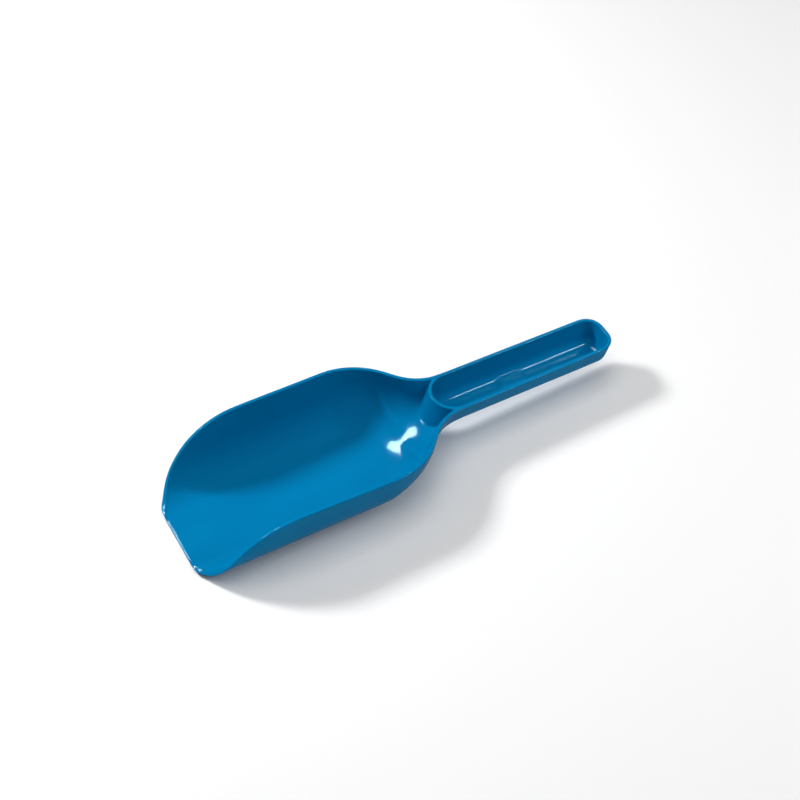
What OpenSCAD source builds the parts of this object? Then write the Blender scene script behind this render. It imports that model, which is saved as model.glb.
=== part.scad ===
// Toy beach sand scoop: one thin plastic moulding with a flat-bottomed bowl that is open at
// the front, a neck that sweeps into a trough-shaped handle, and a D-shaped web that closes
// the handle's trough off from the bowl.
//
// +Z is up and the bowl rests on z = 0. +Y runs from the lip to the end of the handle, and
// the scoop is the same on both sides of x = 0. The origin is under the middle of its length.
// Inside the functions, y is measured from the lip.
//
// The real scoop is a single piece. Its nodes are regions of that piece, which meet face to
// face, so that each one is simple enough to collide and recolour on its own.

/* [Overall] */
// Length from the lip to the end of the handle
length = 240; // [225:1:255]
// Thickness of the floor and walls
wall = 1.8; // [1.4:0.1:2.4]

/* [Bowl] */
// Length of the bowl's straight sides, from the lip
bowl_len = 98; // [90:1:104]
// Width across the rim at the mouth
mouth_w = 76; // [72:1:82]
// Width across the rim where the straight sides end
bowl_w = 78.5; // [74:0.5:84]
// Width between the feet of the side walls, measured to the sharp corner under their fillets
floor_w = 66.5; // [62:0.5:70]
// Radius between the floor and the side walls
floor_r = 20; // [14:1:22]
// Height of the side walls' line at the mouth
mouth_h = 34.8; // [32:0.1:37]
// Height of the rim where the straight sides end
bowl_h = 30.5; // [28:0.5:33]

/* [Mouth] */
// Radius of the lip's two corners, seen from above
lip_r = 5.5; // [4:0.5:8]
// Angle at which the rim climbs from the lip, in degrees
rise_angle = 50; // [45:1:54]
// Radius where the climb leaves the lip
rise_foot_r = 8; // [6:0.5:10]
// Radius where the climb meets the rim
rise_top_r = 45; // [35:1:50]

/* [Neck] */
// Outer radius of the bowl's back corners, seen from above
shoulder_r = 38; // [34:1:40]
// Radius of the hollow curve from the shoulders into the handle
neck_r = 26; // [22:1:28]
// Angle of the shoulders to the scoop's length, in degrees
shoulder_angle = 49; // [46:1:54]
// Where the floor starts to climb towards the handle, from the lip
ramp_start = 100.5; // [96:0.5:104]
// Where the floor reaches the handle's level, from the lip
ramp_end = 144; // [142:0.5:150]
// How much the radius beside the floor grows halfway up the climb
dish_r = 8; // [0:1:12]

/* [Web] */
// Radius of the D-shaped web, to its bowl side
web_r = 12.6; // [12:0.1:13.2]
// Thickness of the web
web_t = 1.6; // [1.2:0.1:2]
// Where the web's bowl side stands on the centre line, from the lip
web_at = 138.6; // [136:0.1:140]

/* [Handle] */
// Width across the rim at the neck
neck_w = 25.8; // [25:0.1:27]
// Width across the rim at the end
grip_w = 24.2; // [23:0.1:26]
// Width between the feet of the handle's walls
grip_floor_w = 17; // [16:0.5:18]
// Radius between the handle's floor and its walls
grip_floor_r = 7; // [5:0.5:8]
// Height of the rim at the neck
neck_h = 26.4; // [25:0.2:28]
// Height of the rim at the end of the handle
grip_h = 24; // [23:0.2:25.5]
// Height of the underside at the neck
neck_base = 11.8; // [11:0.2:13]
// Height of the underside at the end of the handle
grip_base = 9.6; // [9:0.2:11]
// Corner radius of the closed end, seen from above
grip_end_r = 9; // [7:0.5:10]

/* [Pad] */
// Where the raised pad on the trough's floor starts, from the lip
pad_at = 177; // [172:1:182]
// Length of the pad
pad_len = 17.5; // [12:0.5:24]
// Height of the pad above the trough's floor
pad_h = 1; // [0.6:0.1:1.6]

/* [Hidden] */

// Colour of the plastic
PLASTIC = [0.03, 0.42, 0.68];
// Colour of the web and pad, a shade lighter so that they can be told apart
PLASTIC_LIGHT = [0.10, 0.52, 0.76];

// Steps across each side's fillet and wall, from the floor to the rim
SIDE_STEPS = 10;
// Steps around each rounded corner of the handle's closed end, and along its straight sides
CORNER_STEPS = 5;
GRIP_STEPS = 3;
// Steps across the web, and rounds in which its meeting with the wall is found
WEB_STEPS = 18;
WEB_ROUNDS = 4;
// Steps along the bowl's climbing rim, its sides and the shoulders
CLIMB_STEPS = 16;
BOWL_STEPS = 3;
SHOULDER_STEPS = 17;
// Steps of the lip's corners, in degrees, and the gaps between these stretches of stations
LIP_STEP = 18;
LIP_GAP = 2;
CLIMB_GAP = 8;
// Smallest corner radius at the foot of the closed end
CORNER_MIN = 1.2;

neck_end = bowl_len + s_run(bowl_w / 2 - neck_w / 2, shoulder_r, shoulder_angle, neck_r);
// Height of the rim at the lip, and how far it climbs from there
rise_base = wall * 1.1;
rise = mouth_h - rise_base;
// Where the climb starts, and where it would start if it had no radius at its foot
rise_at = 2.7;
rise_from = rise_at - rise_foot_r * tan(rise_angle / 2);
// The bowl's rim blends into the handle's over the neck and this much of the handle
rim_blend = 10;

// --- Curves along the scoop ---

function blend(a, b, t) = a + (b - a) * t;
function ease(t) = let (u = max(0, min(1, t))) u * u * (3 - 2 * u);

// A smooth fall from 0 to -drop: a convex arc, a straight at angle a and a hollow arc
function s_curve(u, drop, r1, a, r2) =
    let (
        u1 = r1 * sin(a),
        u3 = s_run(drop, r1, a, r2),
        u2 = u3 - r2 * sin(a)
    )
    u <= 0 ? 0 :
    u < u1 ? sqrt(r1 * r1 - u * u) - r1 :
    u < u2 ? -r1 * (1 - cos(a)) - (u - u1) * tan(a) :
    u < u3 ? -drop + r2 - sqrt(r2 * r2 - (u3 - u) * (u3 - u)) :
    -drop;

// How far along the scoop that fall runs
function s_run(drop, r1, a, r2) =
    (r1 + r2) * sin(a) + (drop - (r1 + r2) * (1 - cos(a))) / tan(a);

// How far y is along the handle, from 0 at the neck to 1 at the end
function along_grip(y) = max(0, (y - neck_end) / (length - neck_end));

// Half the width across the rim
function rim_x(y) =
    blend(mouth_w, bowl_w, min(1, y / bowl_len)) / 2
    + s_curve(y - bowl_len, (bowl_w - neck_w) / 2, shoulder_r, shoulder_angle, neck_r)
    + blend(0, grip_w - neck_w, along_grip(y)) / 2;

// Half the width between the feet of the walls
function foot_x(y) =
    floor_w / 2
    + s_curve(y - bowl_len, (floor_w - grip_floor_w) / 2, shoulder_r, shoulder_angle, neck_r);

// Height of the rim, behind the mouth's climb
function side_h(y) =
    blend(
        blend(mouth_h, bowl_h, y / bowl_len),
        blend(neck_h, grip_h, along_grip(y)),
        ease((y - bowl_len) / (neck_end + rim_blend - bowl_len))
    );

// Height of the rim anywhere, with the climb from the lip
function rim_h(y) =
    let (climb = -s_curve(y - rise_from, rise, rise_foot_r, rise_angle, rise_top_r) / rise)
    rise_base + (side_h(y) - rise_base) * climb;

// How far the floor has climbed from the bowl's level (0) to the handle's (1)
function ramp(y) = ease((y - ramp_start) / (ramp_end - ramp_start));

// Height of the underside
function base_h(y) = blend(neck_base, grip_base, along_grip(y)) * ramp(y);

// Outer radius between the floor and the walls
function corner_r(y) =
    let (u = max(0, min(1, (y - ramp_start) / (ramp_end - ramp_start))))
    blend(floor_r, grip_floor_r, ramp(y)) + dish_r * 4 * u * (1 - u);

// --- The cross-section at y, inset by t from the outer surface ---

// Values of the half section: foot of its wall, floor height, fillet radius, wall angle,
// and the end of the flat floor
function profile(y, t) =
    let (
        slope = (rim_x(y + 0.5) - rim_x(y - 0.5)),
        run = (rim_x(y) - foot_x(y)) / (side_h(y) - base_h(y)),
        a = 90 - atan(run),
        z = base_h(y) + t,
        x = foot_x(y) + run * t - t * sqrt(1 + slope * slope + run * run),
        r = corner_r(y) - t
    )
    [x, z, r, a, x - r * tan(a / 2)];

// Length of a half section from the end of its flat floor up to height h
function reach(p, h) =
    let (z = h - p[1], z_arc = p[2] * (1 - cos(p[3])))
    z < z_arc ? p[2] * acos(1 - z / p[2]) * PI / 180
              : p[2] * p[3] * PI / 180 + (z - z_arc) / sin(p[3]);

// Point at length s along a half section
function on_profile(p, s) =
    let (arc = p[2] * p[3] * PI / 180, a = min(s, arc) / p[2] * 180 / PI, l = max(0, s - arc))
    [p[4] + p[2] * sin(a) + l * cos(p[3]), p[1] + p[2] * (1 - cos(a)) + l * sin(p[3])];

// Half section from the centre line to the rim, as [x, z] points
function half_section(y, t, h) =
    let (p = profile(y, t), s = reach(p, h))
    concat([[0, p[1]]], [for (i = [0 : SIDE_STEPS]) on_profile(p, s * i / SIDE_STEPS)]);

// The lip's corners take this much off each side near the lip
function lip_cut(y) =
    y >= lip_r ? 0 : lip_r - sqrt(lip_r * lip_r - (lip_r - y) * (lip_r - y));

// Whole section from one rim to the other, as 3-D points
function section(y, t, h) =
    let (
        half = half_section(y, t, h),
        n = len(half) - 1,
        k = 1 - lip_cut(y) / half[n][0]
    )
    concat(
        [for (i = [n : -1 : 1]) [-half[i][0] * k, y, half[i][1]]],
        [for (q = half) [q[0] * k, y, q[1]]]
    );

// --- Closed solids from grids of points ---

// The two triangles of each cell between rows i and i + 1, without the empty ones
function cells(rows, cols, at) = [
    for (i = [0 : rows - 2], j = [0 : cols - 2])
        let (a = at(i, j), b = at(i + 1, j), c = at(i + 1, j + 1), d = at(i, j + 1))
            for (f = [[a, b, c], [a, c, d]])
                if (f[0] != f[1] && f[1] != f[2] && f[2] != f[0]) f
];

function flip(faces) = [for (f = faces) [f[0], f[2], f[1]]];
function flat(grid) = [for (row = grid, q = row) q];

// A sheet between an outer and an inner grid, closed along all four borders
module sheet(outer, inner) {
    rows = len(outer);
    cols = len(outer[0]);
    all = rows * cols;
    skin = cells(rows, cols, function(i, j) i * cols + j);
    rims = concat(
        cells(rows, 2, function(i, j) i * cols + j * all),
        flip(cells(rows, 2, function(i, j) i * cols + cols - 1 + j * all)),
        flip(cells(cols, 2, function(i, j) i + j * all)),
        cells(cols, 2, function(i, j) (rows - 1) * cols + i + j * all)
    );
    polyhedron(
        concat(flat(outer), flat(inner)),
        concat(flip(skin), [for (f = skin) [for (v = f) v + all]], rims),
        convexity = 6
    );
}

// A solid through rows of points, whose first and last rows are flat and closed over
module loft(grid) {
    rows = len(grid);
    cols = len(grid[0]);
    polyhedron(
        flat(grid),
        concat(
            flip(cells(rows, cols + 1, function(i, j) i * cols + j % cols)),
            [[for (j = [cols - 1 : -1 : 0]) j]],
            [[for (j = [0 : cols - 1]) (rows - 1) * cols + j]]
        ),
        convexity = 4
    );
}

// Rows of sections at the stations ys, as a sheet of the wall's thickness
module wall_sheet(ys) {
    sheet([for (y = ys) section(y, 0, rim_h(y))], [for (y = ys) section(y, wall, rim_h(y))]);
}

// Moves the origin from the lip to the middle of the length
module placed() {
    translate([0, -length / 2, 0]) children();
}

// --- Sub-parts ---

function steps(a, b, n) = [for (i = [0 : n]) blend(a, b, i / n)];

// Closer together at the lip, where its corners are round, and along the climb
rise_end = rise_from + s_run(rise, rise_foot_r, rise_angle, rise_top_r);
lip_stations = [for (a = [0 : LIP_STEP : 90]) lip_r * (1 - cos(a))];
rise_stations = steps(lip_r + LIP_GAP, rise_end, CLIMB_STEPS);
side_stations = steps(rise_end + CLIMB_GAP, bowl_len, BOWL_STEPS);
bowl_stations = concat(lip_stations, rise_stations, side_stations);
shoulder_stations = steps(bowl_len, neck_end, SHOULDER_STEPS);

module bowl() {
    color(PLASTIC) placed() wall_sheet(bowl_stations);
}

module shoulder() {
    color(PLASTIC) placed() wall_sheet(shoulder_stations);
}

// A row of points up the web at u, from -1 at one wall to 1 at the other, on the radius r.
// Each level follows its own arc, which ends on the wall at that level of the section.
function web_row(u, r) =
    let (centre_y = web_at + web_r)
    [
        for (k = [1 : SIDE_STEPS + 1])
            let (
                side = asin(min(0.999, web_reach(k, r, web_at, WEB_ROUNDS) / r)),
                y = centre_y - r * cos(u * side)
            )
            [r * sin(u * side), y, half_section(y, wall, rim_h(y))[k][1]]
    ];

// Where the radius r meets the wall at level k, found in n rounds from a first guess at y
function web_reach(k, r, y, n) =
    let (x = half_section(y, wall, rim_h(y))[k][0])
    n == 0 ? x : web_reach(k, r, web_at + web_r - sqrt(max(0, r * r - x * x)), n - 1);

module neck_web() {
    us = steps(-1, 1, WEB_STEPS);
    color(PLASTIC_LIGHT) placed()
        sheet([for (u = us) web_row(u, web_r)], [for (u = us) web_row(u, web_r - web_t)]);
}

// Outline of the handle at level k of its section, from one side of the neck end round the
// closed end to the other. The walls lean outward all the way round.
function grip_path(k, t) =
    let (
        end_y = length - grip_end_r,
        rim = half_section(end_y, 0, rim_h(end_y)),
        q = half_section(end_y, t, rim_h(end_y))[k],
        tip = length - (rim[len(rim) - 1][0] - q[0]),
        r = max(CORNER_MIN, min(q[0], grip_end_r - (length - tip))),
        far = k == 0 ? tip - CORNER_MIN : tip,
        sides = [
            for (y = steps(neck_end, far - r, GRIP_STEPS))
                let (p = half_section(y, t, rim_h(y))[k]) [p[0], y, p[1]]
        ],
        corner = [
            for (i = [1 : CORNER_STEPS])
                let (
                    a = 90 * i / CORNER_STEPS,
                    y = far - r + r * sin(a),
                    p = half_section(y, t, rim_h(y))[k]
                )
                [max(0, p[0] - r * (1 - cos(a))), y, p[1]]
        ],
        half = concat(sides, corner)
    )
    concat(half, [for (i = [len(half) - 1 : -1 : 0]) [-half[i][0], half[i][1], half[i][2]]]);

module handle() {
    levels = [0 : SIDE_STEPS + 1];
    outer = [for (k = levels) grip_path(k, 0)];
    inner = [for (k = levels) grip_path(k, wall)];
    color(PLASTIC) placed() grip_sheet(outer, inner);
}

// The handle's sheet. Its first row is the centre line, which both sides share.
module grip_sheet(outer, inner) {
    rows = len(outer);
    cols = len(outer[0]);
    all = rows * cols;
    shared = function(j) min(j, cols - 1 - j, GRIP_STEPS);
    at = function(i, j) i == 0 ? shared(j) : i * cols + j;
    skin = cells(rows, cols, at);
    rims = concat(
        flip(cells(cols, 2, function(i, j) (rows - 1) * cols + i + j * all)),
        flip(cells(rows, 2, function(i, j) at(i, 0) + j * all)),
        cells(rows, 2, function(i, j) at(i, cols - 1) + j * all)
    );
    polyhedron(
        concat(flat(outer), flat(inner)),
        concat(skin, [for (f = flip(skin)) [for (v = f) v + all]], rims),
        convexity = 6
    );
}

module handle_pad() {
    color(PLASTIC_LIGHT) placed()
        loft([for (y = [pad_at, pad_at + pad_len]) section(y, wall, base_h(y) + wall + pad_h)]);
}

bowl();
shoulder();
neck_web();
handle();
handle_pad();
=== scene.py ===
"""Toy beach sand scoop: a thin glossy plastic moulding on a pale floor.

The shell is one seamless quad mesh: an outer skin, the bowl's hollow and the handle's trough,
joined along the rim, the lip and the top of the D-shaped web. The low pad on the trough's
floor is a second mesh, which lies in that floor all round. Lengths are in millimetres until
the mesh is made, and y is measured from the lip.
"""

import math

import bmesh
import bpy
import numpy as np
from mathutils import Matrix, Vector


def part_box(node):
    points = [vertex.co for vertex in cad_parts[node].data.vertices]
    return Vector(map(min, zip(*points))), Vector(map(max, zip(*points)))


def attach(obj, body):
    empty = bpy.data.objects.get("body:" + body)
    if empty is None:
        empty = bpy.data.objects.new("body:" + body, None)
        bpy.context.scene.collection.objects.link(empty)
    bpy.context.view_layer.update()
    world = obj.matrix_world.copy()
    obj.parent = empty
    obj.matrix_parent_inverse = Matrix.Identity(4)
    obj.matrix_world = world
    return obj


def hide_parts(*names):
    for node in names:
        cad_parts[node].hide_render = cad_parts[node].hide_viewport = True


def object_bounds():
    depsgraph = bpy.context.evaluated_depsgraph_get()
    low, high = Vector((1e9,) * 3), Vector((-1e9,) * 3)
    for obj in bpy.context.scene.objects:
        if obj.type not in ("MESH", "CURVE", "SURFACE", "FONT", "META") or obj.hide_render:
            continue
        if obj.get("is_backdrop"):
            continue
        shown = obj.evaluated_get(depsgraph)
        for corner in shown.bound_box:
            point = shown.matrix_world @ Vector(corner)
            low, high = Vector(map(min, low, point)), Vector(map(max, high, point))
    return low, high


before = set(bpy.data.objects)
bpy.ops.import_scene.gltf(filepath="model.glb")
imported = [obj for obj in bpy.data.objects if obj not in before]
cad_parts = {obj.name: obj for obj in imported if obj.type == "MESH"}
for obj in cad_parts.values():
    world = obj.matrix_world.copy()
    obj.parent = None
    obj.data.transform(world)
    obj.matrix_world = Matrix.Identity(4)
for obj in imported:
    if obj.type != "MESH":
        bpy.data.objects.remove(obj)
cad_low, cad_high = (np.array(corner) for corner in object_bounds())

MM = 0.001


def cad_mm(node):
    """Lowest and highest corner of a CAD node in mm, with y measured from the lip."""
    low, high = (np.array(corner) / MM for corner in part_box(node))
    from_lip = np.array([0, -cad_low[1] / MM, 0])
    return low + from_lip, high + from_lip


# --- Dimensions that the frame's boxes hold ---

LENGTH = (cad_high[1] - cad_low[1]) / MM
BOWL_LEN = cad_mm("bowl")[1][1]
NECK_END = cad_mm("handle")[0][1]
BOWL_W = 2 * cad_mm("shoulder")[1][0]
NECK_W = 2 * cad_mm("handle")[1][0]
PAD_FROM, PAD_TO = cad_mm("handle_pad")[0][1], cad_mm("handle_pad")[1][1]

# --- Dimensions that they don't hold, as in the CAD source ---

WALL = 1.8
MOUTH_W, MOUTH_H, BOWL_H = 76, 34.8, 30.5
FLOOR_W, FLOOR_R = 66.5, 20
LIP_R = 5.5
# The rim's climb from the lip: its angle, the radii at its foot and top, its height at the
# lip, and where it would start if it had no radius at its foot
RISE_ANGLE, RISE_FOOT_R, RISE_TOP_R = math.radians(50), 8, 45
RISE_BASE = WALL * 1.1
RISE_AT = 2.7
RISE_FROM = RISE_AT - RISE_FOOT_R * math.tan(RISE_ANGLE / 2)
# The shoulders, seen from above
SHOULDER_R, NECK_R, SHOULDER_ANGLE = 38, 26, math.radians(49)
# The bowl's rim blends into the handle's over the neck and this much of the handle
RIM_BLEND = 10
# The floor's climb to the handle, and how much the dish in it adds to the corner's radius
RAMP_FROM, RAMP_TO = 100.5, 144
DISH_R = 8
GRIP_W, GRIP_FLOOR_W, GRIP_FLOOR_R, GRIP_END_R = 24.2, 17, 7, 9
NECK_H, GRIP_H, NECK_BASE, GRIP_BASE = 26.4, 24, 11.8, 9.6
WEB_R, WEB_T, WEB_AT = 12.6, 1.6, 138.6
WEB_CENTRE = WEB_AT + WEB_R

# --- Finer shape, which only the visual model has ---

# The bevel on the lip's upper edge
LIP_BEVEL, LIP_BEVEL_LEN = 0.34, 0.9
# The dish in the ramp and the radius of its floor, with a short stretch that is more hollow
DISH_FROM, DISH_TO, DISH_FLOOR_R = 98, 142, 110
WAIST_AT, WAIST_LEN, WAIST_FLOOR_R = 121.8, 2.4, 65
# Radius that stands for a flat floor
FLAT_R = 20000
# How much the web's faces lean, as a growth of their radius with depth
WEB_FRONT_LEAN, WEB_BACK_LEAN = 0.3, 0.05
# How fast the closed end's corner radius shrinks towards its foot, as a power
TIP_TAPER = 1.4
# The pad's height, sloping ends, overlap with the walls and soft edge, and how far it is sunk
PAD_H, PAD_SLOPE, PAD_BLEND, PAD_SOFT, PAD_SINK = 0.9, 3.0, 1.0, 0.3, 0.12

# --- Mesh ---

# How far support loops lie from the edges and feet that they round
EDGE = 0.6
FILLET = 1.5
# Quads across the floor, from the floor up to the rim, and around a corner of the closed end
ACROSS = 16
LEVELS = 14
CORNER = 5
PAD_ROWS, PAD_COLUMNS = 24, 12
# Rows of quads within this of a curved end are bent towards it
BEND_REACH = 34
# Points closer than this are welded
WELD = 0.01
SMOOTHING = 2


def blend(a, b, t):
    return a + (b - a) * t


def ease(t):
    t = min(1, max(0, t))
    return t * t * (3 - 2 * t)


def s_run(drop, r1, a, r2):
    """How far along the scoop s_curve runs."""
    return (r1 + r2) * math.sin(a) + (drop - (r1 + r2) * (1 - math.cos(a))) / math.tan(a)


def s_curve(u, drop, r1, a, r2):
    """A smooth fall from 0 to -drop: a convex arc, a straight at angle a and a hollow arc."""
    u1, u3 = r1 * math.sin(a), s_run(drop, r1, a, r2)
    if u <= 0:
        return 0
    if u < u1:
        return math.sqrt(r1 * r1 - u * u) - r1
    if u < u3 - r2 * math.sin(a):
        return -r1 * (1 - math.cos(a)) - (u - u1) * math.tan(a)
    if u < u3:
        return r2 - drop - math.sqrt(r2 * r2 - (u3 - u) ** 2)
    return -drop


def along_grip(y):
    """How far y is along the handle, from 0 at the neck to 1 at the end."""
    return max(0, (y - NECK_END) / (LENGTH - NECK_END))


def ramp(y):
    """How far the floor has climbed from the bowl's level (0) to the handle's (1)."""
    return ease((y - RAMP_FROM) / (RAMP_TO - RAMP_FROM))


def dish(y):
    """A smooth rise and fall from 0 to 1 to 0 over the dished stretch of the ramp."""
    along = min(1, max(0, (y - DISH_FROM) / (DISH_TO - DISH_FROM)))
    return 4 * along * (1 - along)


def rim_x(y):
    """Half the width across the outer edge of the rim."""
    bowl_x = blend(MOUTH_W, BOWL_W, min(1, y / BOWL_LEN)) / 2
    fall = s_curve(y - BOWL_LEN, (BOWL_W - NECK_W) / 2, SHOULDER_R, SHOULDER_ANGLE, NECK_R)
    return bowl_x + fall + (GRIP_W - NECK_W) / 2 * along_grip(y)


def foot_x(y):
    """Half the width between the sharp feet of the walls."""
    drop = (FLOOR_W - GRIP_FLOOR_W) / 2
    return FLOOR_W / 2 + s_curve(y - BOWL_LEN, drop, SHOULDER_R, SHOULDER_ANGLE, NECK_R)


def side_h(y):
    """Height of the rim, without the mouth's climb."""
    bowl_h = blend(MOUTH_H, BOWL_H, y / BOWL_LEN)
    grip_h = blend(NECK_H, GRIP_H, along_grip(y))
    return blend(bowl_h, grip_h, ease((y - BOWL_LEN) / (NECK_END + RIM_BLEND - BOWL_LEN)))


def rim_h(y):
    """Height of the rim."""
    top = side_h(0) - RISE_BASE
    climb = -s_curve(y - RISE_FROM, top, RISE_FOOT_R, RISE_ANGLE, RISE_TOP_R) / top
    return RISE_BASE + (side_h(y) - RISE_BASE) * climb


def base_h(y):
    """Height of the underside."""
    return blend(NECK_BASE, GRIP_BASE, along_grip(y)) * ramp(y)


def floor_h(y, t):
    """Height of the floor's skin at the inset t. The lip's upper edge is bevelled."""
    bevel = LIP_BEVEL * max(0, 1 - y / LIP_BEVEL_LEN) if t else 0
    return base_h(y) + t - bevel


def corner_r(y):
    """Outer radius between the floor and the walls, larger where the ramp is dished."""
    return blend(FLOOR_R, GRIP_FLOOR_R, ramp(y)) + DISH_R * dish(y)


def floor_r(y):
    """Radius of the floor across the scoop, which is flat but for the dish in the ramp."""
    waist = math.exp(-(((y - WAIST_AT) / WAIST_LEN) ** 2))
    curvature = dish(y) / DISH_FLOOR_R + waist / WAIST_FLOOR_R
    return 1 / max(curvature, 1 / FLAT_R)


def sag(x, y):
    """How far the floor has risen at x from the centre line."""
    r = floor_r(y)
    return r - math.sqrt(r * r - x * x)


class Section:
    """Half the cross-section at y, inset by t from the outer skin: floor, corner and wall."""

    def __init__(self, y, t):
        slope = rim_x(y + 0.5) - rim_x(y - 0.5)
        run = (rim_x(y) - foot_x(y)) / (side_h(y) - base_h(y))
        foot = foot_x(y) + run * t - t * math.sqrt(1 + slope**2 + run**2)
        self.angle = math.pi / 2 - math.atan(run)
        self.floor = floor_h(y, t)
        self.r, flat_r = corner_r(y) - t, floor_r(y)
        # The corner's arc touches the floor's at the angle self.start, and the wall's line
        top = foot - self.r * math.sin(self.angle) + (flat_r - self.r * math.cos(self.angle)) * run
        touch = min(1, top / (flat_r - self.r) * math.sin(self.angle))
        self.start = self.angle - math.acos(touch)
        self.half = flat_r * math.sin(self.start)
        self.lift = flat_r * (1 - math.cos(self.start))
        self.arc = self.r * (self.angle - self.start)
        rise = rim_h(y) - self.floor - self.lift
        arc_rise = self.r * (math.cos(self.start) - math.cos(self.angle))
        if rise < arc_rise:
            self.length = self.r * (math.acos(math.cos(self.start) - rise / self.r) - self.start)
        else:
            self.length = self.arc + (rise - arc_rise) / math.sin(self.angle)
        # The lip's round corners narrow it
        width = self.at(self.length)[0]
        cut = max(0, LIP_R - y)
        self.shrink = 1 - (LIP_R - math.sqrt(LIP_R**2 - cut**2)) / width

    def at(self, s):
        """(x, z) at the length s from the floor's edge."""
        a, past = self.start + min(s, self.arc) / self.r, max(0, s - self.arc)
        x = self.half + self.r * (math.sin(a) - math.sin(self.start)) + past * math.cos(self.angle)
        z = self.lift + self.r * (math.cos(self.start) - math.cos(a)) + past * math.sin(self.angle)
        return x, self.floor + z

    def level(self, k):
        """(x, z) at level k, from 0 at the floor's edge to LEVELS at the rim."""
        edge = min(EDGE, self.length / 4)
        s = self.length if k == LEVELS else (self.length - edge) * k / (LEVELS - 1)
        x, z = self.at(s)
        return x * self.shrink, z


# --- The ends of the hollows, as rows of points from +x round to -x at each level ---


def web_side(k, t, radius, lean):
    """Where one face of the web meets the wall at level k: x, y, z and the face's radius there.

    The radius depends on the height, and the height on y, so they are found in rounds.
    """
    rounds, first_guess = 12, 2
    y = WEB_AT + first_guess
    for _ in range(rounds):
        x, z = Section(y, t).level(k)
        r = radius + lean * (side_h(y) - z)
        y = WEB_CENTRE - math.sqrt(max(0, r * r - x * x))
    return x, y, z, r


def web_middle(k):
    """Height of level k on the web's centre line, as a share of the web's height."""
    if k in (0, LEVELS):
        return k / LEVELS
    foot = FILLET / (side_h(WEB_AT) - base_h(WEB_AT))
    return blend(foot, 1 - foot / 3, (k - 1) / (LEVELS - 2))


def web_row(k, t, radius, lean):
    """Level k of one face of the web, which leans so that its radius grows with depth."""
    x, y, z, r = web_side(k, t, radius, lean)
    side = math.asin(min(0.9999, x / r))
    floor = Section(y, t).floor
    at_side = (z - floor) / (side_h(y) - floor)
    at_middle = web_middle(k)
    rounds = 4
    row = []
    for j in range(ACROSS + 1):
        u = 1 - 2 * j / ACROSS
        share = blend(at_middle, at_side, abs(u) ** 3)
        point = np.array([0.0, WEB_AT, 0.0])
        for _ in range(rounds):
            floor = floor_h(point[1], t) + sag(point[0], point[1])
            height = blend(floor, side_h(point[1]), share)
            r = radius + lean * (side_h(point[1]) - height)
            point = np.array([r * math.sin(u * side), WEB_CENTRE - r * math.cos(u * side), height])
        row.append(point)
    row[0], row[-1] = np.array([x, y, z]), np.array([-x, y, z])
    return row


def tip_row(k, t):
    """Level k of the handle's closed end: a corner, a straight and a corner."""
    start = LENGTH - GRIP_END_R
    x, _ = Section(start, t).level(k)
    rim, _ = Section(start, t).level(LEVELS)
    outer_rim = rim_x(start)
    tip = LENGTH - (outer_rim - x)
    r = (GRIP_END_R - (outer_rim - rim)) * (x / rim) ** TIP_TAPER
    x, _ = Section(tip - r, t).level(k)
    row = []
    for j in range(ACROSS + 1):
        if j <= CORNER:
            a = math.pi / 2 * j / CORNER
            px, py = x - r * (1 - math.cos(a)), tip - r + r * math.sin(a)
        elif j < ACROSS - CORNER:
            px, py = (x - r) * (1 - 2 * (j - CORNER) / (ACROSS - 2 * CORNER)), tip
        else:
            a = math.pi / 2 * (ACROSS - j) / CORNER
            px, py = -x + r * (1 - math.cos(a)), tip - r + r * math.sin(a)
        row.append(np.array([px, py, Section(py, t).level(k)[1]]))
    return row


# --- Grids of points ---


def rows_between(ys, start, end, t):
    """Floor and side walls through the stations ys, fitted to an end row at either end.

    start and end are lists of rows, one for each level, or None for an open end. Stations
    near an end are bent towards it, so that the grid's last row lies on it.
    """
    floor, near, far = [], [], []
    for y in ys:
        pull_start = ease(1 - (y - ys[0]) / BEND_REACH) if start else 0
        pull_end = ease(1 - (ys[-1] - y) / BEND_REACH) if end else 0
        walls = []
        for k in range(LEVELS + 1):
            level_y = y
            if start:
                level_y += pull_start * (start[k][0][1] - ys[0])
            if end:
                level_y += pull_end * (end[k][0][1] - ys[-1])
            x, z = Section(level_y, t).level(k)
            walls.append(np.array([x, level_y, z]))
        near.append(walls)
        far.append([p * [-1, 1, 1] for p in walls])
        row = []
        for j in range(ACROSS + 1):
            point = blend(walls[0], far[-1][0], j / ACROSS)
            for rows, pull in ((start, pull_start), (end, pull_end)):
                if rows:
                    row_end = rows[0]
                    straight = blend(row_end[0], row_end[-1], j / ACROSS)
                    point = point + (row_end[j] - straight) * pull
            point[2] = floor_h(point[1], t) + sag(point[0], point[1])
            row.append(point)
        row[0], row[-1] = walls[0], far[-1][0]
        floor.append(row)
    return floor, near, far


def stations(start, *stretches):
    """Stations from start through (to, count) stretches."""
    ys = [start]
    for end, count in stretches:
        begin = ys[-1]
        ys += [blend(begin, end, (i + 1) / count) for i in range(count)]
    return ys


def columns(rows):
    return [list(column) for column in zip(*rows)]


def build_mesh(name, grids):
    """One smoothed mesh from grids of points in mm, welded where they share an edge."""
    bm = bmesh.new()
    lip = Vector((0, cad_low[1], 0))
    for grid in grids:
        verts = [[bm.verts.new(Vector(p) * MM + lip) for p in row] for row in grid]
        for low, high in zip(verts, verts[1:]):
            for i in range(len(low) - 1):
                bm.faces.new((low[i], low[i + 1], high[i + 1], high[i]))
    bmesh.ops.remove_doubles(bm, verts=bm.verts, dist=WELD * MM)
    bmesh.ops.recalc_face_normals(bm, faces=bm.faces)
    mesh = bpy.data.meshes.new(name)
    bm.to_mesh(mesh)
    bm.free()
    mesh.shade_smooth()
    piece = bpy.data.objects.new(name, mesh)
    bpy.context.scene.collection.objects.link(piece)
    subdivision = piece.modifiers.new("smooth", "SUBSURF")
    subdivision.levels = subdivision.render_levels = SMOOTHING
    return piece


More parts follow.
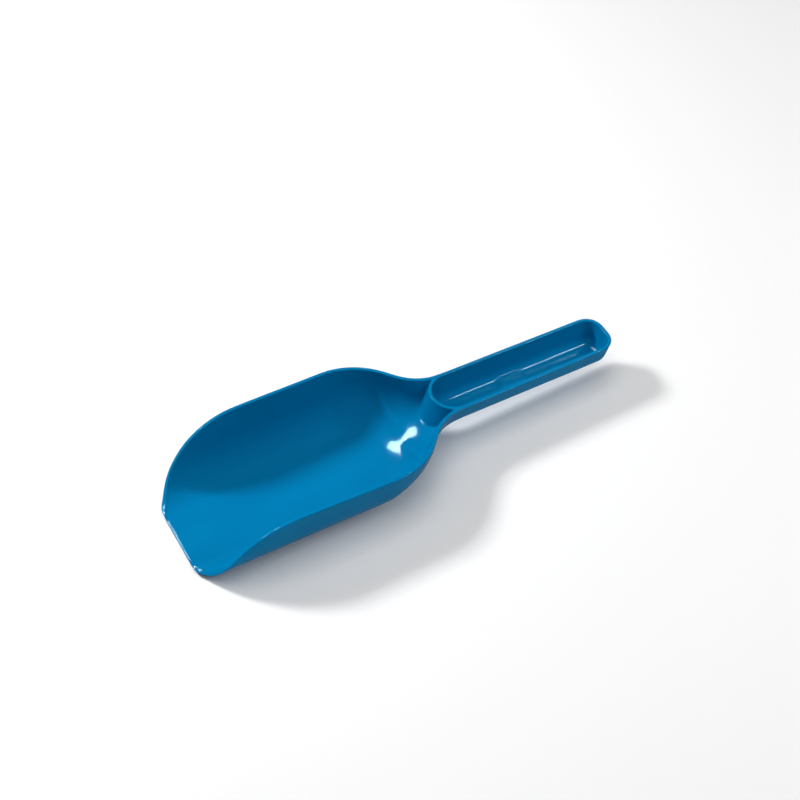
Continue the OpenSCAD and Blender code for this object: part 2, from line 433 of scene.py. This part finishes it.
def make_shell():
    """The whole moulding but for the pad."""
    every_level = range(LEVELS + 1)
    front = [web_row(k, WALL, WEB_R, WEB_FRONT_LEAN) for k in every_level]
    back = [web_row(k, WALL, WEB_R - WEB_T, -WEB_BACK_LEAN) for k in every_level]
    tip_in = [tip_row(k, WALL) for k in every_level]
    tip_out = [tip_row(k, 0) for k in every_level]

    # Closer together at the bevel, along the climb and at the feet of the ends
    notch, trough_from, trough_to = front[-1][0][1], back[-1][0][1], tip_in[-1][0][1]
    bowl_ys = stations(
        0.0, (0.15, 1), (0.75, 1), (1.05, 1), (LIP_R, 4), (48, 20), (BOWL_LEN, 8),
        (notch - 2 * FILLET, 22), (notch - FILLET, 1), (notch, 1),
    )
    trough_ys = stations(
        trough_from, (trough_from + FILLET, 1), (trough_to - FILLET, 16), (trough_to, 1)
    )
    bowl = rows_between(bowl_ys, None, front, WALL)
    trough = rows_between(trough_ys, back, tip_in, WALL)
    skin = rows_between(bowl_ys + trough_ys, None, tip_out, 0)

    grids = [*bowl, *trough, *skin]
    grids += [columns(end) for end in (front, back, tip_in, tip_out)]
    # The lip, across the floor and up the two walls
    grids += [[outside[0], inside[0]] for outside, inside in zip(skin, bowl)]
    # The rim: along the bowl, along the handle, and between them where the web's top joins it
    for side in (1, 2):
        rim = [row[-1] for row in skin[side]]
        bowl_rim = [row[-1] for row in bowl[side]]
        trough_rim = [row[-1] for row in trough[side]]
        n = len(bowl_rim)
        grids.append([rim[:n], bowl_rim])
        grids.append([rim[n:], trough_rim])
        grids.append([rim[n - 1 : n + 1], [bowl_rim[-1], trough_rim[0]]])
    # The rim round the closed end, and the web's top
    grids += [[tip_out[-1], tip_in[-1]], [front[-1], back[-1]]]
    return build_mesh("scoop_shell", grids)


def make_pad():
    """The low raised panel on the trough's floor, which runs smoothly into it all round."""
    rows = []
    for i in range(PAD_ROWS + 1):
        y = blend(PAD_FROM, PAD_TO, i / PAD_ROWS)
        section = Section(y, WALL)
        height = PAD_H * ease(min(y - PAD_FROM, PAD_TO - y) / PAD_SLOPE)
        top = section.half + math.sqrt(section.r**2 - (section.r - PAD_H) ** 2)
        row = []
        for j in range(-PAD_COLUMNS, PAD_COLUMNS + 1):
            x = (top + PAD_BLEND) * j / PAD_COLUMNS
            past = max(0, abs(x) - section.half)
            wall = section.r - math.sqrt(section.r**2 - past**2)
            lift = ((height - wall) + math.hypot(height - wall, PAD_BLEND * PAD_SOFT)) / 2
            row.append(np.array([x, y, section.floor + wall + lift - PAD_SINK]))
        rows.append(row)
    return build_mesh("pad", [rows])


# --- Materials ---

BLUE, DEEP_BLUE = (0.0, 0.185, 0.40, 1), (0.0, 0.165, 0.37, 1)
# The plastic's index, and the strength and colour of its gloss
PLASTIC_IOR = 1.49
GLOSS_LEVEL, GLOSS_TINT = 0.1, (0.48, 0.85, 1, 1)
# Roughness of the clean plastic, and how much a scuff adds
CLEAN_MIN, CLEAN_MAX, SCUFF_ADDS = 0.05, 0.1, 0.12


def new_material(name):
    """A node material, its shader, and makers of its nodes and links."""
    material = bpy.data.materials.new(name)
    material.use_nodes = True
    tree = material.node_tree

    def node(kind, output, inputs, **settings):
        """The output of a new node, whose inputs are sockets or plain values."""
        made = tree.nodes.new("ShaderNode" + kind)
        for key, value in settings.items():
            setattr(made, key, value)
        for key, value in inputs.items():
            if isinstance(value, bpy.types.NodeSocket):
                tree.links.new(value, made.inputs[key])
            else:
                made.inputs[key].default_value = value
        return made.outputs[output]

    return material, tree.nodes["Principled BSDF"], node, tree.links.new


def make_plastic():
    """Glossy coloured polypropylene with a faint flow pattern, orange peel and light scuffs."""
    material, shader, node, link = new_material("glossy_blue_plastic")
    place = node("TexCoord", "Object", {})

    # A faint variation of the colour, drawn out along the scoop
    flow = node("Mapping", "Vector", {"Vector": place, "Scale": (1, 0.35, 1)})
    clouds = node("TexNoise", "Fac", {"Vector": flow, "Scale": 45, "Detail": 3})
    colour = node("ValToRGB", "Color", {"Fac": clouds})
    stops = colour.node.color_ramp.elements
    stops[0].position, stops[0].color = 0.3, DEEP_BLUE
    stops[1].position, stops[1].color = 0.7, BLUE

    # Fine scratches, roughly along the scoop, in worn patches
    rub = {"Vector": place, "Scale": (1, 0.06, 1), "Rotation": (0, 0, 0.15)}
    hairs = {"Vector": node("Mapping", "Vector", rub), "Scale": 2600, "Detail": 2}
    sharpen = {"Value": node("TexNoise", "Fac", hairs), "From Min": 0.66, "From Max": 0.74}
    scratch = node("MapRange", "Result", sharpen)
    patches = node("TexNoise", "Fac", {"Vector": place, "Scale": 25, "Detail": 4})
    worn = node("MapRange", "Result", {"Value": patches, "From Min": 0.5, "From Max": 0.7})
    scuff = node("Math", "Value", {0: scratch, 1: worn}, operation="MULTIPLY")
    clean = node("MapRange", "Result", {"Value": patches, "To Min": CLEAN_MIN, "To Max": CLEAN_MAX})
    rough = node("Math", "Value", {0: scuff, 1: SCUFF_ADDS, 2: clean}, operation="MULTIPLY_ADD")

    # A barely uneven moulded skin, and the scratches in it
    peel = node("TexNoise", "Fac", {"Vector": place, "Scale": 420, "Detail": 1})
    skin = node("Bump", "Normal", {"Height": peel, "Strength": 0.02, "Distance": 0.2 * MM})
    scored = {"Height": scuff, "Strength": 0.04, "Distance": 0.1 * MM, "Normal": skin}

    link(colour, shader.inputs["Base Color"])
    link(rough, shader.inputs["Roughness"])
    link(node("Bump", "Normal", scored), shader.inputs["Normal"])
    shader.inputs["IOR"].default_value = PLASTIC_IOR
    shader.inputs["Specular IOR Level"].default_value = GLOSS_LEVEL
    shader.inputs["Specular Tint"].default_value = GLOSS_TINT
    return material


def make_floor():
    """A matt floor just under the scoop, so that no faces coincide."""
    floor_size, gap = 6, 0.05 * MM
    bpy.ops.mesh.primitive_plane_add(size=floor_size, location=(0, 0, -gap))
    floor = bpy.context.object
    floor.name = "floor"
    material, shader, node, link = new_material("pale_floor")
    place = node("TexCoord", "Object", {})
    clouds = node("TexNoise", "Fac", {"Vector": place, "Scale": 3, "Detail": 2})
    tone = node("MapRange", "Result", {"Value": clouds, "To Min": 0.89, "To Max": 0.92})
    link(tone, shader.inputs["Base Color"])
    shader.inputs["Roughness"].default_value = 0.7
    shader.inputs["Specular IOR Level"].default_value = 0.2
    floor.data.materials.append(material)
    # The body's gloss shows the soft boxes and not the floor
    floor.visible_glossy = False
    floor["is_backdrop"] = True


# --- Camera and light ---

VIEW_AZIMUTH, VIEW_ELEVATION, VIEW_ROLL = map(math.radians, (62.94, 49.17, -1.72))
VIEW_DISTANCE = 0.8683
VIEW_TARGET = Vector((-0.0278, 0.0154, -0.0003))
LENS = 76.4
CLIP_START = 0.01


def direction(azimuth, elevation):
    """Unit vector from the object in a direction. Azimuths are as for views."""
    level = math.cos(elevation)
    return Vector((math.sin(azimuth) * level, -math.cos(azimuth) * level, math.sin(elevation)))


def make_camera():
    forward = -direction(VIEW_AZIMUTH, VIEW_ELEVATION)
    right = forward.cross(Vector((0, 0, 1))).normalized()
    up = right.cross(forward)
    rolled_right = right * math.cos(VIEW_ROLL) + up * math.sin(VIEW_ROLL)
    rolled_up = up * math.cos(VIEW_ROLL) - right * math.sin(VIEW_ROLL)
    rotation = Matrix((rolled_right, rolled_up, -forward)).transposed().to_4x4()
    camera = bpy.data.objects.new("camera", bpy.data.cameras.new("camera"))
    camera.data.lens = LENS
    camera.data.clip_start = CLIP_START
    camera.matrix_world = Matrix.Translation(VIEW_TARGET - forward * VIEW_DISTANCE) @ rotation
    bpy.context.scene.collection.objects.link(camera)
    bpy.context.scene.camera = camera


# Soft boxes: azimuth, elevation, distance, width, height and power. The broad ones shape the
# body and aren't seen in its gloss. The small ones are seen only in its gloss: the window on
# the ramp, the edge light along the lip and the strip along the trough.
AMBIENT = 0.15
BODY_LIGHTS = {
    "key": (302, 41, 0.9, 0.16, 0.16, 6.6),
    "top": (0, 89, 1.3, 0.9, 0.9, 6.6),
    "fill": (142, 40, 1.2, 0.5, 0.5, 3.9),
}
GLOSS_LIGHTS = {
    "window": (296.5, 48, 0.9, 0.06, 0.125, 3.3),
    "edge": (313.6, 40.8, 0.957, 0.12, 0.12, 2.9),
    "strip": (163.6, 60.4, 1.035, 0.06, 0.24, 8.5),
}


def area_light(name, azimuth, elevation, distance, width, height, power):
    """A soft box in a direction from the object, facing it."""
    away = direction(math.radians(azimuth), math.radians(elevation))
    light = bpy.data.lights.new(name, "AREA")
    light.shape, light.size, light.size_y = "RECTANGLE", width, height
    light.energy = power
    lamp = bpy.data.objects.new(name, light)
    lamp.location = away * distance
    lamp.rotation_euler = away.to_track_quat("Z", "Y").to_euler()
    bpy.context.scene.collection.objects.link(lamp)
    return lamp


def make_light():
    world = bpy.data.worlds.new("studio")
    bpy.context.scene.world = world
    world.use_nodes = True
    background = world.node_tree.nodes["Background"]
    background.inputs["Color"].default_value = (1, 1, 1, 1)
    background.inputs["Strength"].default_value = AMBIENT
    for name, settings in BODY_LIGHTS.items():
        area_light(name, *settings).visible_glossy = False
    for name, settings in GLOSS_LIGHTS.items():
        area_light(name, *settings).visible_diffuse = False


shell = make_shell()
pad = make_pad()
plastic = make_plastic()
for piece in (shell, pad):
    piece.data.materials.append(plastic)
    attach(piece, "root")
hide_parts("bowl", "shoulder", "neck_web", "handle")
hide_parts("handle_pad")

make_floor()
make_camera()
make_light()
bpy.context.scene.view_settings.view_transform = "Standard"
